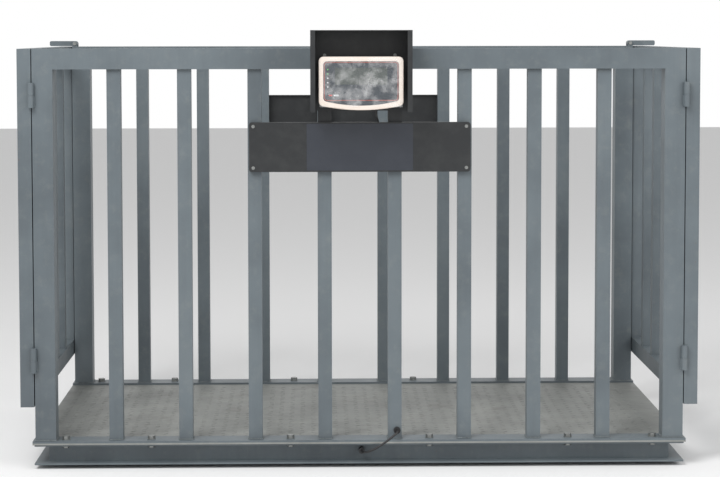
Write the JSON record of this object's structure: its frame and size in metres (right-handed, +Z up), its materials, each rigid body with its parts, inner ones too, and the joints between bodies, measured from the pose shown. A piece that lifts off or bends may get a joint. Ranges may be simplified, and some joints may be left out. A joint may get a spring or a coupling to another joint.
{
  "type": "animal weighing scale",
  "caption": "Low platform livestock scale on load cells, with barred side panels, swinging end gates and a hooded weight indicator.",
  "frame": {"origin": "centre of the platform on the floor plane, under the middle of the deck between the posts", "axes": "+X along the platform from the left gate to the right gate, +Y from the indicator side across, +Z up"},
  "size_m": [2.058, 1.128, 1.286],
  "materials": {
    "frame_paint": "satin blue-grey paint over steel, dusty",
    "deck_paint": "worn grey paint on chequer plate",
    "cell_alloy": "machined",
    "zinc_fixings": "zinc plated",
    "black_rubber": "matt",
    "black_sheet": "black powder coat",
    "cream_plastic": "fine moulded grain",
    "face_film": "printed film",
    "window": "clear",
    "circuit": "green laminate",
    "dark_plastic": "moulded",
    "cable_sheath": "smooth sheath"
  },
  "bodies": {
    "root": {"base_channel_front": "frame_paint", "base_channel_rear": "frame_paint", "base_channel_left": "frame_paint", "base_channel_right": "frame_paint", "cross_beams": "frame_paint", "cell_plates": "frame_paint", "load_cell_front_left": "cell_alloy", "load_cell_front_right": "cell_alloy", "load_cell_rear_left": "cell_alloy", "load_cell_rear_right": "cell_alloy", "cell_bolts": "zinc_fixings", "levelling_feet": "zinc_fixings", "foot_pads": "black_rubber", "foot_lock_nuts": "zinc_fixings", "deck_plate": "deck_paint", "bottom_rail_front": "frame_paint", "bottom_rail_rear": "frame_paint", "rail_bolts": "zinc_fixings", "rail_nuts": "zinc_fixings", "post_front_left": "frame_paint", "post_front_right": "frame_paint", "post_rear_left": "frame_paint", "post_rear_right": "frame_paint", "top_rail_front": "frame_paint", "top_rail_rear": "frame_paint", "front_bars": "frame_paint", "rear_bars": "frame_paint", "rail_end_caps": "frame_paint", "hinge_left_pins": "frame_paint", "hinge_right_pins": "frame_paint", "latch_brackets": "frame_paint", "latch_pins": "zinc_fixings", "sign_board_front": "black_sheet", "sign_board_rear": "black_sheet", "board_screws": "zinc_fixings", "hood": "black_sheet", "hood_straps": "black_sheet", "hood_screws": "zinc_fixings", "indicator_bezel": "cream_plastic", "indicator_back": "cream_plastic", "indicator_face": "face_film", "display_window": "window", "circuit_board": "circuit", "indicator_bracket": "black_sheet", "cable_glands": "dark_plastic", "cable_grommets": "black_rubber", "load_cell_cable": "cable_sheath", "indicator_cable": "cable_sheath", "junction_box": "dark_plastic", "junction_lid": "dark_plastic"},
    "gate_left": {"gate_left_stiles": "frame_paint", "gate_left_rails": "frame_paint", "gate_left_bars": "frame_paint", "hinge_left_sleeves": "frame_paint"},
    "gate_right": {"gate_right_stiles": "frame_paint", "gate_right_rails": "frame_paint", "gate_right_bars": "frame_paint", "hinge_right_sleeves": "frame_paint"},
    "latch_left": {"latch_left": "frame_paint"},
    "latch_right": {"latch_right": "frame_paint"}
  },
  "joints": [
    {"name": "gate_left_swing", "type": "hinge", "parent": "root", "child": "gate_left", "pos_m": [-0.9545, -0.509, 0.7], "axis": [0, 0, 1], "range_deg": [0, 180]},
    {"name": "gate_right_swing", "type": "hinge", "parent": "root", "child": "gate_right", "pos_m": [0.9545, -0.509, 0.7], "axis": [0, 0, -1], "range_deg": [0, 180]},
    {"name": "latch_left_lift", "type": "hinge", "parent": "root", "child": "latch_left", "pos_m": [-0.9445, 0.47, 1.243], "axis": [0, 1, 0], "range_deg": [0, 110]},
    {"name": "latch_right_lift", "type": "hinge", "parent": "root", "child": "latch_right", "pos_m": [0.9445, 0.47, 1.243], "axis": [0, -1, 0], "range_deg": [0, 110]}
  ]
}
